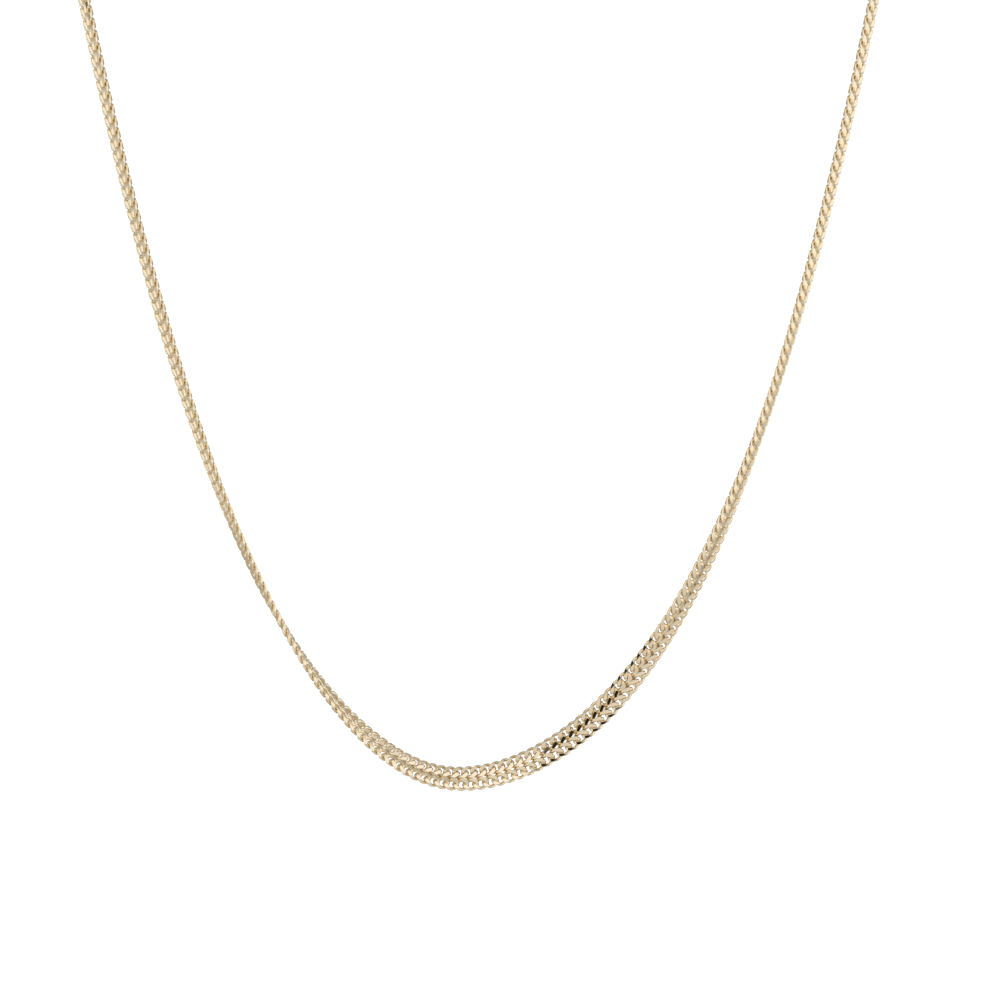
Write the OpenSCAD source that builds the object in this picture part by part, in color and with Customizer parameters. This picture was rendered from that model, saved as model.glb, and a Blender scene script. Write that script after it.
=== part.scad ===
// Double-row flat chain necklace, closed at the nape. Millimetres, +Z up, the front towards -Y.
// The origin is where the clasp rests on the back of the neck.

/* [Chain] */
// Width of the chain, across both rows of links
chain_w = 2.8; // [2.4:0.1:3.4]
// Thickness of the chain at the crest of a row
chain_t = 0.8; // [0.6:0.02:0.9]
// Thickness of the chain in the groove between its rows
groove_t = 0.5; // [0.3:0.02:0.6]
// Length of chain that one link takes up
link_pitch = 1.2; // [1:0.05:1.5]

/* [Hang] */
// Length of each side of the hanging front, from its lowest point
front_half = 105; // [90:1:115]
// Half length of the long bend that turns most of the hanging front
long_bend = 22.6; // [16:0.2:30]
// Distance of its middle from the lowest point
long_at = 3.4; // [0:0.1:8]
// Half length of the short bend beside the lowest point
short_bend = 4.8; // [3:0.2:10]
// Distance of its middle from the lowest point
short_at = -3.3; // [-8:0.1:0]
// Part of the whole turn that the short bend takes
short_part = 0.27; // [0:0.01:0.4]
// Lean of the front, from the vertical
lean = 12; // [0:1:25]
// Place of the lowest point to the side of the nape
low_x = -6.5; // [-8:0.1:8]
// Distance of the lowest point in front of the nape
low_y = 86; // [80:1:100]
// Distance of the lowest point below the nape
drop = 138.5; // [125:0.5:155]
// How straight the chain leaves the front on its way over the shoulder
shoulder_reach = 40; // [30:1:50]
// How straight the chain leaves the clasp on its way round the neck
nape_reach = 50; // [40:1:60]

/* [Clasp] */
// Distance from the middle of the clasp to each cut end of the chain
end_x = 11; // [10.6:0.1:12]
// Distance from the middle of the clasp to each end cap's eye
eye_x = 7.2; // [7:0.1:7.4]
// Distance of the clasp's middle from the skin
nape_gap = 2; // [1.8:0.1:3]
// Thickness of the jump rings' wire
ring_wire = 0.7; // [0.5:0.05:0.8]
// Diameter of a jump ring at the middle of its wire
ring_d = 3.2; // [3:0.1:3.4]
// Thickness of the clasp's body
clasp_t = 1.7; // [1.2:0.1:2]

/* [Hidden] */
$fn = 48;
gold = [0.86, 0.72, 0.45];

// Turn of the chain's face about its own length: [distance along the chain from its lowest point,
// angle from facing straight away from the neck]. The chain hangs with half a turn from end to end,
// most of it beside the lowest point, so its back faces out on the left strand.
TURNS = [
    [-217, -180], [-130, -178], [-98, -171], [-66, -165], [-50, -157], [-36, -147], [-27, -129],
    [-17, -105], [-8, -76], [0, -50], [8, -34], [16, -25], [24, -11], [32, 0], [40, 8], [48, 16],
    [54, 19], [62, 17], [72, 11], [86, 5], [100, 1], [130, 0], [217, 0],
];
// The chain faces away from this upright line through the middle of the neck
neck_axis = [0, -40];

// The hanging front lies in a plane that leans back. It is walked in small steps each way from the
// lowest point, along its heading, which two bends turn from nearly down to nearly up.
low = [low_x, -low_y, -drop];
long_part = 1.01 - short_part;
walk_step = 0.5;
function turned(s) =
    short_part * atan((s - short_at) / short_bend) + long_part * atan((s - long_at) / long_bend);
function heading(s) = turned(s) - turned(0);
function walk(side) =
    [for (i = 0, p = [0, 0]; i * walk_step <= front_half + 1;
          h = heading(side * (i + 0.5) * walk_step),
          p = p + side * walk_step * [cos(h), sin(h)],
          i = i + 1)
        [side * i * walk_step, p]];
LEFT_WALK = walk(-1);
RIGHT_WALK = walk(1);
WALK = concat([for (i = [len(LEFT_WALK) - 1:-1:1]) LEFT_WALK[i]], RIGHT_WALK);
ACROSS = [for (w = WALK) [w[0], w[1][0]]];
RISE = [for (w = WALK) [w[0], w[1][1]]];
function front(s) = low + [lookup(s, ACROSS), lookup(s, RISE) * sin(lean), lookup(s, RISE) * cos(lean)];

function unit(v) = v / norm(v);
function front_dir(side) =
    let (h = heading(side * front_half)) side * [cos(h), sin(h) * sin(lean), sin(h) * cos(lean)];

// The stretch over the shoulder to the nape: one curve from the top of the front to the end cap
function back_knots(side) =
    let (top = front(side * front_half), end = [side * end_x, nape_gap, 0])
    [top, top + shoulder_reach * front_dir(side), end + [side * nape_reach, 0, 0], end];
function bezier(k, t) =
    pow(1 - t, 3) * k[0] + 3 * pow(1 - t, 2) * t * k[1] + 3 * (1 - t) * t * t * k[2] + pow(t, 3) * k[3];

// Stations along the chain from the left end to the right: [place, distance from the lowest point]
back_l = 112;
station_step = 2.5 * link_pitch;
back_steps = round(0.8 * back_l / station_step);
front_steps = round(2 * front_half / station_step);
LEFT = back_knots(-1);
RIGHT = back_knots(1);
STATIONS = concat(
    [for (i = [back_steps:-1:1]) let (t = i / back_steps) [bezier(LEFT, t), -front_half - t * back_l]],
    [for (i = [0:front_steps]) let (s = front_half * (2 * i / front_steps - 1)) [front(s), s]],
    [for (i = [1:back_steps]) let (t = i / back_steps) [bezier(RIGHT, t), front_half + t * back_l]]
);
last = len(STATIONS) - 1;

// Axes of the chain at a station: along it, out of its face, and across its width
function along(i) = unit(STATIONS[min(i + 1, last)][0] - STATIONS[max(i - 1, 0)][0]);
function outward(i) =
    let (p = STATIONS[i][0], d = along(i), o = [p[0] - neck_axis[0], p[1] - neck_axis[1], 0])
    unit(o - (o * d) * d);
function face_dir(i) =
    let (d = along(i), o = outward(i), a = lookup(STATIONS[i][1], TURNS))
    cos(a) * o + sin(a) * cross(d, o);

// The section across the chain: a round row on each side of the groove
row_r = chain_w / 4;
function row(mid, from) = [for (a = [from:40:from + 240]) [mid + row_r * cos(a), chain_t / 2 * sin(a)]];
SECTION = concat(row(row_r, -120), [[0, groove_t / 2]], row(-row_r, 60), [[0, -groove_t / 2]]);
sides = len(SECTION);

function ring_points(i) =
    let (p = STATIONS[i][0], n = face_dir(i), b = cross(n, along(i)))
    [for (q = SECTION) p + q[0] * b + q[1] * n];

module chain() {
    points = [for (i = [0:last]) each ring_points(i)];
    walls = [for (i = [0:last - 1], j = [0:sides - 1])
        let (k = (j + 1) % sides, a = i * sides, b = a + sides)
        each [[a + j, b + j, b + k], [a + j, b + k, a + k]]];
    ends = [[for (j = [0:sides - 1]) j], [for (j = [sides - 1:-1:0]) last * sides + j]];
    color(gold) polyhedron(points, concat(walls, ends), convexity = 10);
}

// A flat sleeve over the cut end of the chain, with an eye for a jump ring
cap_wall = 0.35;
cap_gap = 0.12;
cap_in = 1.8;
cap_w = chain_w + 2 * (cap_gap + cap_wall);
cap_t = chain_t + 2 * (cap_gap + cap_wall);
eye_r = 1.3;
eye_hole_r = 0.75;
eye_t = 0.9;
module end_cap() {
    color(gold) difference() {
        union() {
            translate([-end_x - cap_in, nape_gap - cap_t / 2, -cap_w / 2])
                cube([cap_in + end_x - eye_x - eye_r, cap_t, cap_w]);
            translate([-eye_x - eye_r - 0.5, nape_gap - eye_t / 2, -eye_r])
                cube([eye_r + 0.5, eye_t, 2 * eye_r]);
            translate([-eye_x, nape_gap + eye_t / 2, 0]) rotate([90, 0, 0]) cylinder(r = eye_r, h = eye_t);
        }
        translate([-end_x - cap_in - 1, nape_gap - chain_t / 2 - cap_gap, -chain_w / 2 - cap_gap])
            cube([cap_in + 1 + cap_gap, chain_t + 2 * cap_gap, chain_w + 2 * cap_gap]);
        translate([-eye_x, nape_gap + 2, 0]) rotate([90, 0, 0]) cylinder(r = eye_hole_r, h = 4);
    }
}
module end_cap_left() {
    end_cap();
}
module end_cap_right() {
    mirror([1, 0, 0]) end_cap();
}

module jump_ring(x) {
    color(gold) translate([x, nape_gap, 0])
        rotate_extrude() translate([ring_d / 2, 0]) circle(d = ring_wire, $fn = 24);
}
module ring_left() {
    jump_ring(ring_d / 2 - eye_x);
}
module ring_right() {
    jump_ring(eye_x - ring_d / 2);
}

// A plain closed clasp: an eye on the left ring, a waist, and an oval loop round the right ring
clasp_eye_x = ring_d - eye_x;
clasp_bend_x = eye_x - ring_d;
loop_out = 2.3;
loop_in = 1.25;
module oval(r, x_from, x_to) {
    hull() {
        translate([x_from, 0]) circle(r = r);
        translate([x_to, 0]) circle(r = r);
    }
}
module clasp() {
    loop_to = clasp_bend_x + eye_hole_r - loop_in;
    loop_from = loop_to - 2.1;
    color(gold) translate([0, nape_gap + clasp_t / 2, 0]) rotate([90, 0, 0]) linear_extrude(clasp_t)
        difference() {
            union() {
                translate([clasp_eye_x, 0]) circle(r = eye_r);
                translate([clasp_eye_x, -0.9]) square([loop_from - clasp_eye_x, 1.8]);
                oval(loop_out, loop_from, loop_to);
            }
            translate([clasp_eye_x, 0]) circle(r = eye_hole_r);
            oval(loop_in, loop_from + 0.2, loop_to);
        }
}

chain();
end_cap_left();
end_cap_right();
ring_left();
ring_right();
clasp();
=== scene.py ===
"""Flat gold neck chain of two mirrored rows of curb links, with its end caps, jump rings and clasp."""
import math

import bmesh
import bpy
import numpy as np
from mathutils import Matrix, Vector


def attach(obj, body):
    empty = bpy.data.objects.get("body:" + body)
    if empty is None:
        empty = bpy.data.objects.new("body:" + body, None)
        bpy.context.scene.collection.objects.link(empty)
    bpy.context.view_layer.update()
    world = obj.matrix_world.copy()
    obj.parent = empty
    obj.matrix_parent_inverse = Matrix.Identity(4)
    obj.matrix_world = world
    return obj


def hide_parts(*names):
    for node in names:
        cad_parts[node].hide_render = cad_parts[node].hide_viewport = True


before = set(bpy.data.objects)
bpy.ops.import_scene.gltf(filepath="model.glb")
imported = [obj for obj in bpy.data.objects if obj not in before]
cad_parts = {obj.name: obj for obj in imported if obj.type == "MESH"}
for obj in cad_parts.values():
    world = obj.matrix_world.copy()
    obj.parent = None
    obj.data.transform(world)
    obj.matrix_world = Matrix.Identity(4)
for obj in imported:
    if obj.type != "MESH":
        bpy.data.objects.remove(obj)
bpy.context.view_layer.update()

MM = 0.001

# The hang of the necklace, in millimetres and radians. The front's heading turns in two bends, each with
# its part of the whole turn, its half length and its place from the lowest point.
FRONT_HALF = 105.0
LONG_PART, LONG_BEND, LONG_AT = 0.74, 22.6, 3.4
SHORT_PART, SHORT_BEND, SHORT_AT = 0.27, 4.8, -3.3
LEAN = math.radians(12)
LOW = np.array([-6.5, -86.0, -138.5])
SHOULDER_REACH = 40.0
NAPE_REACH = 50.0
END_X = 11.0
NAPE_GAP = 2.0
BACK_L = 112.0
NECK_AXIS = np.array([0.0, -40.0, 0.0])

# Steps along the front and over the shoulder, and the reach on each side for the chain's direction
WALK_STEP = 0.25
BACK_STEPS = 800
DIRECTION_REACH = 0.3

# Turn of the chain's face: distance from the lowest point, angle from facing away from the neck
TURNS = [
    (-217, -180), (-130, -178), (-98, -171), (-66, -165), (-50, -157), (-36, -147), (-27, -129),
    (-17, -105), (-8, -76), (0, -50), (8, -34), (16, -25), (24, -11), (32, 0), (40, 8), (48, 16),
    (54, 19), (62, 17), (72, 11), (86, 5), (100, 1), (130, 0), (217, 0),
]

# Links along the chain. Half a turn makes the chain a little shorter, so the pitch loses a part there.
LINK_PITCH = 1.2
LINK_AT = 10.17
TWIST_AT, TWIST_SPREAD, TWIST_LOSS = -5.0, 9.0, 0.08
LINK_WOBBLE = 0.008
WOBBLE_SEED = 4

# One link, in millimetres: the middle line of its wire is a flat oval whose ends are bent up and down.
# Half widths of the oval and of the wire are given for the side at the chain's edge and the side at its
# groove, and a bow sharpens the curve that they lie on.
ROW_MIDDLE = 0.72
LINK_HALF_L = 0.92
OUTER_HALF_W, OUTER_BOW, OUTER_WIRE = 0.43, 1.4, 0.18
OUTER_PEAK, OUTER_PEAK_BOW = 0.16, 8
INNER_HALF_W, INNER_BOW, INNER_WIRE = 0.54, 1.3, 0.20
TIP_WIRE = 0.21
CROSSING_EXTRA = 0.02
LINK_BEND, BEND_BOW = 0.25, 0.6
WIRE_HALF_T = 0.22
LINK_STEPS = 16
WIRE_SIDES = 6

# Flat faces ground on both sides of each row: angle of their normal from the chain's face in degrees,
# distance from the row's middle
FACETS = [(11, 0.41), (-9.5, 0.385), (48, 0.60)]
CUT_MERGE = 1e-5

# Finishes
GOLD_COLOUR = (0.93, 0.79, 0.565)
CHAIN_ROUGHNESS = 0.08
FITTING_ROUGHNESS = 0.10
POLISH_SCALE = 900
POLISH_DETAIL = 2
POLISH_LOW, POLISH_HIGH = 0.7, 1.4
FLOOR_COLOUR = (0.95, 0.95, 0.955)
DARK_COLOUR = (0.03, 0.018, 0.005)
STAGE_ROUGHNESS = 0.9

# Camera at the photo's view, in millimetres from the lowest point of the chain
CAMERA_FROM_LOW = np.array([-7.45, -121.8, 87.25])
CAMERA_YAW = math.radians(-5.51)
CAMERA_PITCH = math.radians(-23.07)
CAMERA_ROLL = math.radians(1.64)
LENS = 45.0
SENSOR_WIDTH = 36.0
CLIP_START, CLIP_END = 0.005, 100

# Surroundings: brightness against the direction's share towards the brightest place, from 0 opposite to 1
# at it, made darker behind the chain. Both sides have a bright lobe of their own.
BRIGHTEST = (140, 35)
SHADES = [(0.1, 0.46), (0.57, 0.48), (0.64, 0.57), (0.8, 0.61), (0.83, 0.68), (0.87, 0.88)]
BEHIND_FROM, BEHIND_TO, BEHIND_SHADE = -0.1, 0.2, 0.7
LOBE_MIDDLE, LOBE_FROM, LOBE_TO, LOBE_SHADE = 0.06, 0.68, 0.86, 0.88
WORLD_STRENGTH = 1.2
SUN_ANGLE = math.radians(120)
SUN_STRENGTH = 1.6

# Floor and dark cards, in metres: width, height, place from the lowest point, roll in degrees. The far card
# stands at a distance from a point on the chain, in the direction that the chain's upper edge mirrors.
FLOOR_WIDTH = 60
FLOOR_DROP = 0.15
NEAR_CARD = (0.035, 0.0095)
NEAR_CARD_FROM_LOW = (0.0208, -0.035, -0.0004)
NEAR_CARD_ROLL = 31
FAR_CARD = (0.24, 0.07)
FAR_CARD_AIM_FROM_LOW = (0.022, 0, 0.008)
FAR_CARD_TOWARD = (-121, 33)
FAR_CARD_DISTANCE = 0.35
FAR_CARD_ROLL = 20


def walk_front():
    """Places on the hanging front, each WALK_STEP along it, and their distances from the low point."""
    s = np.arange(-FRONT_HALF, FRONT_HALF + WALK_STEP / 2, WALK_STEP)
    short_turn = SHORT_PART * np.arctan((s - SHORT_AT) / SHORT_BEND)
    turned = short_turn + LONG_PART * np.arctan((s - LONG_AT) / LONG_BEND)
    heading = turned - np.interp(0, s, turned)
    middle = (heading[1:] + heading[:-1]) / 2
    across = np.concatenate([[0], np.cumsum(np.cos(middle))]) * WALK_STEP
    up = np.concatenate([[0], np.cumsum(np.sin(middle))]) * WALK_STEP
    across -= np.interp(0, s, across)
    up -= np.interp(0, s, up)
    place = LOW + np.stack([across, up * math.sin(LEAN), up * math.cos(LEAN)], axis=-1)
    return place, s


def over_shoulder(side, top, rise, t):
    """Places on the stretch from the top of the front, t = 0, to the end cap, t = 1."""
    end = np.array([side * END_X, NAPE_GAP, 0.0])
    knots = [top, top + SHOULDER_REACH * rise, end + np.array([side * NAPE_REACH, 0.0, 0.0]), end]
    u = t[:, None]
    return (1 - u) ** 3 * knots[0] + 3 * (1 - u) ** 2 * u * knots[1] \
        + 3 * (1 - u) * u * u * knots[2] + u ** 3 * knots[3]


def unit(v):
    """Vectors of length 1 in the same directions."""
    return v / np.linalg.norm(v, axis=-1, keepdims=True)


def chain_line():
    """The chain's middle line from its left end to its right end, and the distance from the low point."""
    t = np.linspace(0, 1, BACK_STEPS + 1)
    line, s = walk_front()
    left = over_shoulder(-1, line[0], unit(line[0] - line[1]), t)
    right = over_shoulder(1, line[-1], unit(line[-1] - line[-2]), t)
    whole = np.vstack([left[:0:-1], line, right[1:]])
    mark = np.concatenate([-FRONT_HALF - t[:0:-1] * BACK_L, s, FRONT_HALF + t[1:] * BACK_L])
    return whole, mark


def on_line(at, run, line):
    """Places on a line at distances along it."""
    return np.stack([np.interp(at, run, line[:, k]) for k in range(3)], axis=1)


def link_places():
    """Places and axes of the links, one each LINK_PITCH along the chain, and their size along it."""
    line, mark = chain_line()
    step = np.linalg.norm(np.diff(line, axis=0), axis=1)
    run = np.concatenate([[0], np.cumsum(step)])
    middle = (mark[1:] + mark[:-1]) / 2
    pitch = LINK_PITCH * (1 - TWIST_LOSS * np.exp(-0.5 * ((middle - TWIST_AT) / TWIST_SPREAD) ** 2))
    number = np.concatenate([[0], np.cumsum(step / pitch)])
    number -= np.interp(LINK_AT, mark, number)
    at = np.interp(np.arange(math.ceil(number[0] + 0.5), number[-1] - 0.5), number, run)
    place = on_line(at, run, line)
    along = unit(on_line(at + DIRECTION_REACH, run, line) - on_line(at - DIRECTION_REACH, run, line))
    away = place - NECK_AXIS
    away[:, 2] = 0
    away = unit(away - (away * along).sum(axis=1, keepdims=True) * along)
    turn = np.radians(np.interp(np.interp(at, run, mark), *zip(*TURNS)))[:, None]
    face = np.cos(turn) * away + np.sin(turn) * np.cross(along, away)
    # Links that lie closer together are a little shorter, so that they don't cut into each other
    sideways = np.abs((np.gradient(along, axis=0) * np.cross(face, along)).sum(axis=1))
    size = np.ones_like(place)
    size[:, 0] = (np.interp(at, (run[1:] + run[:-1]) / 2, pitch) - ROW_MIDDLE * sideways) / LINK_PITCH
    return place, along, face, size


def grind(work, normal, depth):
    """Cut a flat face across the link, and close it."""
    cut = bmesh.ops.bisect_plane(
        work, geom=work.verts[:] + work.edges[:] + work.faces[:], dist=CUT_MERGE,
        plane_co=normal * depth, plane_no=normal, clear_outer=True)
    rim = [part for part in cut["geom_cut"] if isinstance(part, bmesh.types.BMEdge)]
    for face in bmesh.ops.edgeloop_fill(work, edges=rim)["faces"]:
        face.smooth = False
        for edge in face.edges:
            edge.smooth = False


def link_skin():
    """Points of one link's skin, a ring of WIRE_SIDES at each of LINK_STEPS round its oval."""
    u = np.linspace(0, 2 * math.pi, LINK_STEPS, endpoint=False) + math.pi / LINK_STEPS
    sweep = np.abs(np.sin(u))
    outer = np.sin(u) > 0
    bow_out = OUTER_HALF_W * sweep ** OUTER_BOW + OUTER_PEAK * sweep ** OUTER_PEAK_BOW
    across = np.where(outer, bow_out, -INNER_HALF_W * sweep ** INNER_BOW)
    bend = -LINK_BEND * np.sign(np.sin(2 * u)) * np.abs(np.sin(2 * u)) ** BEND_BOW
    line = np.stack([LINK_HALF_L * np.cos(u), across, bend], axis=1)
    along = unit(np.roll(line, -1, axis=0) - np.roll(line, 1, axis=0))
    out = unit(np.cross(along, [0, 0, 1.0]))
    up = np.cross(out, along)
    a = 2 * math.pi * (np.arange(WIRE_SIDES) + 0.5) / WIRE_SIDES
    side_w = np.where(outer, OUTER_WIRE, INNER_WIRE)
    half_w = side_w + (TIP_WIRE - side_w) * np.cos(u) ** 2 + CROSSING_EXTRA * np.sin(2 * u) ** 2
    wide = half_w[:, None, None] / math.cos(math.pi / WIRE_SIDES) * np.cos(a)[:, None]
    thick = WIRE_HALF_T * np.sin(a)[:, None]
    return line[:, None] + wide * out[:, None] + thick * up[:, None]


def add_link(work, side):
    """Add one link of the upper row (side 1) or the lower row (side -1), along X, facing Z."""
    link = bmesh.new()
    rings = [[link.verts.new(point) for point in ring] for ring in link_skin()]
    for i in range(LINK_STEPS):
        for k in range(WIRE_SIDES):
            j, m = (i + 1) % LINK_STEPS, (k + 1) % WIRE_SIDES
            link.faces.new((rings[i][k], rings[i][m], rings[j][m], rings[j][k])).smooth = True
    for turn, depth in FACETS:
        for z_side in (1, -1):
            tilt = math.radians(turn)
            grind(link, Vector((0, math.sin(tilt), z_side * math.cos(tilt))), depth)
    bmesh.ops.scale(link, verts=link.verts, vec=(MM, MM * side, MM))
    bmesh.ops.translate(link, verts=link.verts, vec=(0, ROW_MIDDLE * MM * side, 0))
    bmesh.ops.recalc_face_normals(link, faces=link.faces)
    part = bpy.data.meshes.new("part")
    link.to_mesh(part)
    link.free()
    work.from_mesh(part)
    bpy.data.meshes.remove(part)


def link_pair():
    """Mesh of an upper and a lower link, soldered side to side."""
    work = bmesh.new()
    add_link(work, 1)
    add_link(work, -1)
    mesh = bpy.data.meshes.new("link_pair")
    work.to_mesh(mesh)
    work.free()
    return mesh


def laying_tree():
    """Node tree that lays a link at each point of a line of places."""
    tree = bpy.data.node_groups.new("Lay links", "GeometryNodeTree")
    inlets = tree.interface
    inlets.new_socket("Geometry", in_out="INPUT", socket_type="NodeSocketGeometry")
    inlets.new_socket("Link", in_out="INPUT", socket_type="NodeSocketObject")
    link_size = inlets.new_socket("Link size", in_out="INPUT", socket_type="NodeSocketFloat")
    link_size.default_value = 1.0
    wobble = inlets.new_socket("Wobble", in_out="INPUT", socket_type="NodeSocketFloat")
    wobble.default_value = LINK_WOBBLE
    inlets.new_socket("Finish", in_out="INPUT", socket_type="NodeSocketMaterial")
    inlets.new_socket("Geometry", in_out="OUTPUT", socket_type="NodeSocketGeometry")
    node, link = tree.nodes.new, tree.links.new
    given = node("NodeGroupInput")
    made = node("NodeGroupOutput")
    info = node("GeometryNodeObjectInfo")
    place = node("GeometryNodeInstanceOnPoints")
    axes = node("FunctionNodeAxesToRotation")
    axes.primary_axis = "Z"
    axes.secondary_axis = "X"
    whole = node("GeometryNodeRealizeInstances")
    finish = node("GeometryNodeSetMaterial")
    chance = node("FunctionNodeRandomValue")
    chance.data_type = "FLOAT_VECTOR"
    chance.inputs[0].default_value = (-1, -1, -1)
    chance.inputs["Seed"].default_value = WOBBLE_SEED
    lean = node("ShaderNodeVectorMath")
    lean.operation = "MULTIPLY_ADD"
    link(chance.outputs[0], lean.inputs[0])
    link(given.outputs["Wobble"], lean.inputs[1])
    fitted = node("ShaderNodeVectorMath")
    fitted.operation = "SCALE"
    reads = (("face", lean.inputs[2]), ("along", axes.inputs["Secondary Axis"]), ("size", fitted.inputs[0]))
    for name, socket in reads:
        read = node("GeometryNodeInputNamedAttribute")
        read.data_type = "FLOAT_VECTOR"
        read.inputs["Name"].default_value = name
        link(read.outputs["Attribute"], socket)
    link(lean.outputs["Vector"], axes.inputs["Primary Axis"])
    link(given.outputs["Link"], info.inputs["Object"])
    link(given.outputs["Geometry"], place.inputs["Points"])
    link(info.outputs["Geometry"], place.inputs["Instance"])
    link(axes.outputs["Rotation"], place.inputs["Rotation"])
    link(given.outputs["Link size"], fitted.inputs["Scale"])
    link(fitted.outputs["Vector"], place.inputs["Scale"])
    link(place.outputs["Instances"], whole.inputs["Geometry"])
    link(whole.outputs["Geometry"], finish.inputs["Geometry"])
    link(given.outputs["Finish"], finish.inputs["Material"])
    link(finish.outputs["Geometry"], made.inputs["Geometry"])
    return tree


def lay_chain(finish):
    """All the links along the chain's line, as one plain mesh."""
    place, along, facing, size = link_places()
    spots = bpy.data.meshes.new("chain_links")
    spots.from_pydata((place * MM).tolist(), [], [])
    for label, values in (("along", along), ("face", facing), ("size", size)):
        spots.attributes.new(label, "FLOAT_VECTOR", "POINT").data.foreach_set("vector", values.ravel())
    chain = bpy.data.objects.new("chain_links", spots)
    bpy.context.scene.collection.objects.link(chain)
    pattern = bpy.data.objects.new("pattern", link_pair())
    bpy.context.scene.collection.objects.link(pattern)
    tree = laying_tree()
    layer = chain.modifiers.new("Lay links", "NODES")
    layer.node_group = tree
    sockets = {s.name: s.identifier for s in tree.interface.items_tree if s.in_out == "INPUT"}
    layer[sockets["Link"]] = pattern
    layer[sockets["Link size"]] = 1.0
    layer[sockets["Wobble"]] = LINK_WOBBLE
    layer[sockets["Finish"]] = finish
    ready = chain.evaluated_get(bpy.context.evaluated_depsgraph_get())
    mesh = bpy.data.meshes.new_from_object(ready)
    chain.modifiers.remove(layer)
    chain.data = mesh
    bpy.data.objects.remove(pattern)
    return chain


def gold(name, roughness):
    """Polished yellow gold with a faint unevenness in its polish."""
    finish = bpy.data.materials.new(name)
    finish.use_nodes = True
    nodes, links = finish.node_tree.nodes, finish.node_tree.links
    shader = nodes["Principled BSDF"]
    shader.inputs["Metallic"].default_value = 1.0
    shader.inputs["Base Color"].default_value = (*GOLD_COLOUR, 1)
    where = nodes.new("ShaderNodeTexCoord")
    cloud = nodes.new("ShaderNodeTexNoise")
    cloud.inputs["Scale"].default_value = POLISH_SCALE
    cloud.inputs["Detail"].default_value = POLISH_DETAIL
    span = nodes.new("ShaderNodeMapRange")
    span.inputs["To Min"].default_value = roughness * POLISH_LOW
    span.inputs["To Max"].default_value = roughness * POLISH_HIGH
    links.new(where.outputs["Object"], cloud.inputs["Vector"])
    links.new(cloud.outputs["Fac"], span.inputs["Value"])
    links.new(span.outputs["Result"], shader.inputs["Roughness"])
    return finish


def matt(name, colour):
    """A plain colour without gloss, for the stage."""
    finish = bpy.data.materials.new(name)
    finish.use_nodes = True
    shader = finish.node_tree.nodes["Principled BSDF"]
    shader.inputs["Base Color"].default_value = (*colour, 1)
    shader.inputs["Roughness"].default_value = STAGE_ROUGHNESS
    shader.inputs["Specular IOR Level"].default_value = 0.0
    return finish


def add_camera():
    """Camera at the photo's view."""
    camera = bpy.data.objects.new("camera", bpy.data.cameras.new("camera"))
    camera.data.lens = LENS
    camera.data.sensor_width = SENSOR_WIDTH
    camera.data.clip_start = CLIP_START
    camera.data.clip_end = CLIP_END
    aim = Matrix.Rotation(CAMERA_YAW, 4, "Z") @ Matrix.Rotation(CAMERA_PITCH, 4, "X") \
        @ Matrix.Rotation(CAMERA_ROLL, 4, "Y") @ Matrix.Rotation(math.radians(90), 4, "X")
    camera.matrix_world = Matrix.Translation(Vector((LOW + CAMERA_FROM_LOW) * MM)) @ aim
    bpy.context.scene.collection.objects.link(camera)
    bpy.context.scene.camera = camera


def card(name, width, height, place, look_at, finish, roll=0.0):
    """A flat rectangle that faces a point, turned by roll degrees in its own plane."""
    w, h = width / 2, height / 2
    mesh = bpy.data.meshes.new(name)
    mesh.from_pydata([(-w, -h, 0), (w, -h, 0), (w, h, 0), (-w, h, 0)], [], [(0, 1, 2, 3)])
    mesh.materials.append(finish)
    piece = bpy.data.objects.new(name, mesh)
    turn = (Vector(look_at) - Vector(place)).to_track_quat("Z", "Y").to_matrix().to_4x4()
    rolled = turn @ Matrix.Rotation(math.radians(roll), 4, "Z")
    piece.matrix_world = Matrix.Translation(Vector(place)) @ rolled
    bpy.context.scene.collection.objects.link(piece)
    return piece


def toward(azimuth, elevation):
    """Direction from the chain: azimuth 0 is away from the camera, 90 to its right; elevation is upward."""
    a, e = math.radians(azimuth), math.radians(elevation)
    return Vector((math.sin(a) * math.cos(e), math.cos(a) * math.cos(e), math.sin(e)))


def dark_card(name, size, place, look_at, roll):
    """A dark card that the chain mirrors and the camera doesn't see."""
    piece = card(name, *size, place, look_at, matt(name, DARK_COLOUR), roll)
    piece.visible_camera = False
    piece.visible_shadow = False
    piece.visible_diffuse = False


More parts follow.
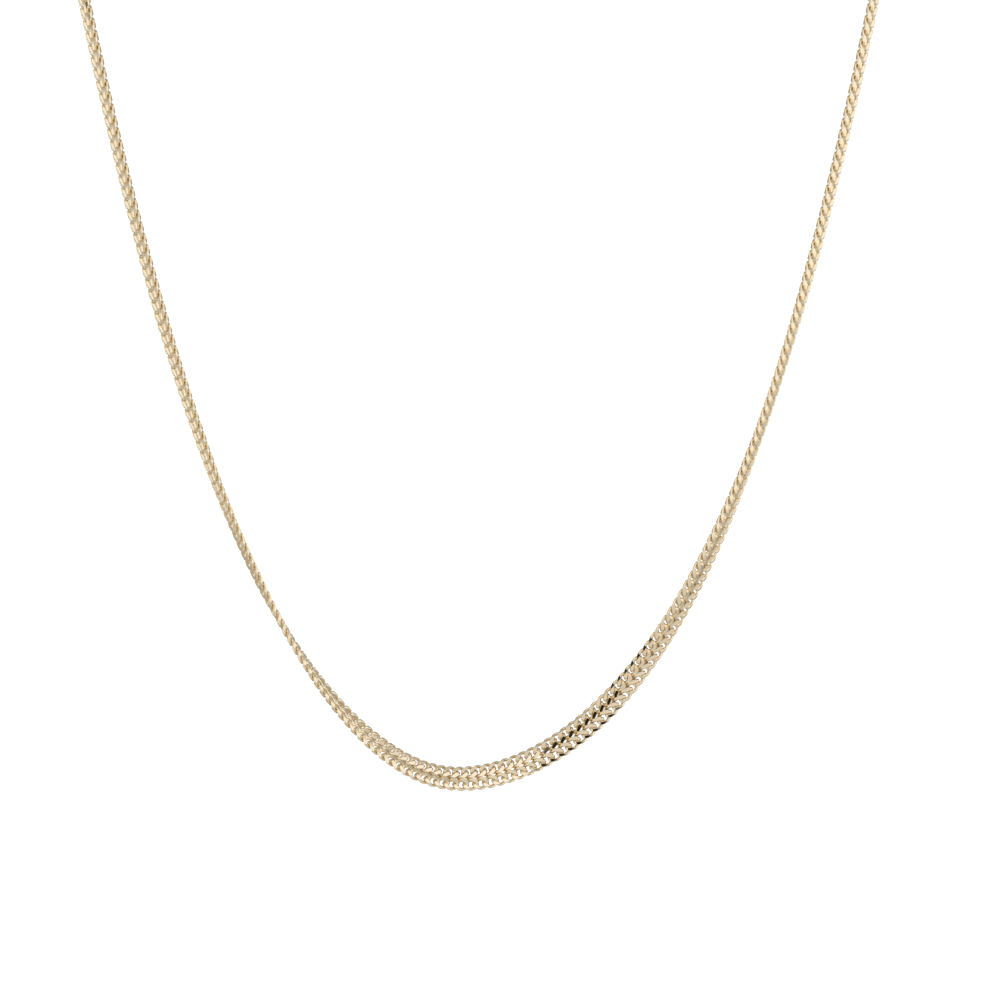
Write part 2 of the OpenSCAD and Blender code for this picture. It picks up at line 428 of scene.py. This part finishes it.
def surroundings():
    """World that is brightest on the camera's right, with a bright lobe on each side."""
    world = bpy.data.worlds.new("surroundings")
    world.use_nodes = True
    nodes, links = world.node_tree.nodes, world.node_tree.links
    where = nodes.new("ShaderNodeTexCoord")
    share = nodes.new("ShaderNodeVectorMath")
    share.operation = "DOT_PRODUCT"
    share.inputs[1].default_value = toward(*BRIGHTEST)
    half = nodes.new("ShaderNodeMapRange")
    half.inputs["From Min"].default_value = -1.0
    span = nodes.new("ShaderNodeValToRGB")
    stops = span.color_ramp.elements
    for stop, (position, shade) in ((stops[0], SHADES[0]), (stops[1], SHADES[-1])):
        stop.position = position
        stop.color = (shade, shade, shade, 1)
    for position, shade in SHADES[1:-1]:
        stops.new(position).color = (shade, shade, shade, 1)
    apart = nodes.new("ShaderNodeSeparateXYZ")
    behind = nodes.new("ShaderNodeMapRange")
    behind.inputs["From Min"].default_value = BEHIND_FROM
    behind.inputs["From Max"].default_value = BEHIND_TO
    behind.inputs["To Min"].default_value = 1.0
    behind.inputs["To Max"].default_value = BEHIND_SHADE
    front = nodes.new("ShaderNodeVectorMath")
    front.operation = "MULTIPLY"
    shift = nodes.new("ShaderNodeMath")
    shift.operation = "SUBTRACT"
    shift.inputs[1].default_value = LOBE_MIDDLE
    beside = nodes.new("ShaderNodeMath")
    beside.operation = "ABSOLUTE"
    sides = nodes.new("ShaderNodeMapRange")
    sides.inputs["From Min"].default_value = LOBE_FROM
    sides.inputs["From Max"].default_value = LOBE_TO
    sides.inputs["To Max"].default_value = LOBE_SHADE
    both = nodes.new("ShaderNodeVectorMath")
    both.operation = "MAXIMUM"
    links.new(where.outputs["Generated"], share.inputs[0])
    links.new(share.outputs["Value"], half.inputs["Value"])
    links.new(half.outputs["Result"], span.inputs["Fac"])
    links.new(where.outputs["Generated"], apart.inputs[0])
    links.new(apart.outputs["Y"], behind.inputs["Value"])
    links.new(span.outputs["Color"], front.inputs[0])
    links.new(behind.outputs["Result"], front.inputs[1])
    links.new(apart.outputs["X"], shift.inputs[0])
    links.new(shift.outputs["Value"], beside.inputs[0])
    links.new(beside.outputs["Value"], sides.inputs["Value"])
    links.new(front.outputs["Vector"], both.inputs[0])
    links.new(sides.outputs["Result"], both.inputs[1])
    links.new(both.outputs["Vector"], nodes["Background"].inputs["Color"])
    nodes["Background"].inputs["Strength"].default_value = WORLD_STRENGTH
    return world


def add_stage():
    """Pale floor, soft light and the dark things that the ground faces mirror."""
    floor_z = LOW[2] * MM - FLOOR_DROP
    floor_finish = matt("pale floor", FLOOR_COLOUR)
    floor = card("floor", FLOOR_WIDTH, FLOOR_WIDTH, (0, 0, floor_z), (0, 0, 1), floor_finish)
    floor.visible_glossy = False
    bpy.context.scene.world = surroundings()
    low = Vector(LOW * MM)
    near = low + Vector(NEAR_CARD_FROM_LOW)
    dark_card("dark_front", NEAR_CARD, near, near + Vector((0, 1, 0)), NEAR_CARD_ROLL)
    aim = low + Vector(FAR_CARD_AIM_FROM_LOW)
    far = aim + toward(*FAR_CARD_TOWARD) * FAR_CARD_DISTANCE
    dark_card("dark_left", FAR_CARD, far, aim, FAR_CARD_ROLL)
    lamp = bpy.data.lights.new("soft_sun", "SUN")
    lamp.angle = SUN_ANGLE
    lamp.energy = SUN_STRENGTH
    sun = bpy.data.objects.new("soft_sun", lamp)
    sun.visible_glossy = False
    bpy.context.scene.collection.objects.link(sun)


add_camera()

chain = lay_chain(gold("chain gold", CHAIN_ROUGHNESS))
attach(chain, "root")
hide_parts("chain")

fitting_gold = gold("fitting gold", FITTING_ROUGHNESS)
for node in ("end_cap_left", "end_cap_right", "ring_left", "ring_right", "clasp"):
    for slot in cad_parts[node].material_slots:
        slot.material = fitting_gold

add_stage()
bpy.context.scene.view_settings.view_transform = "Standard"
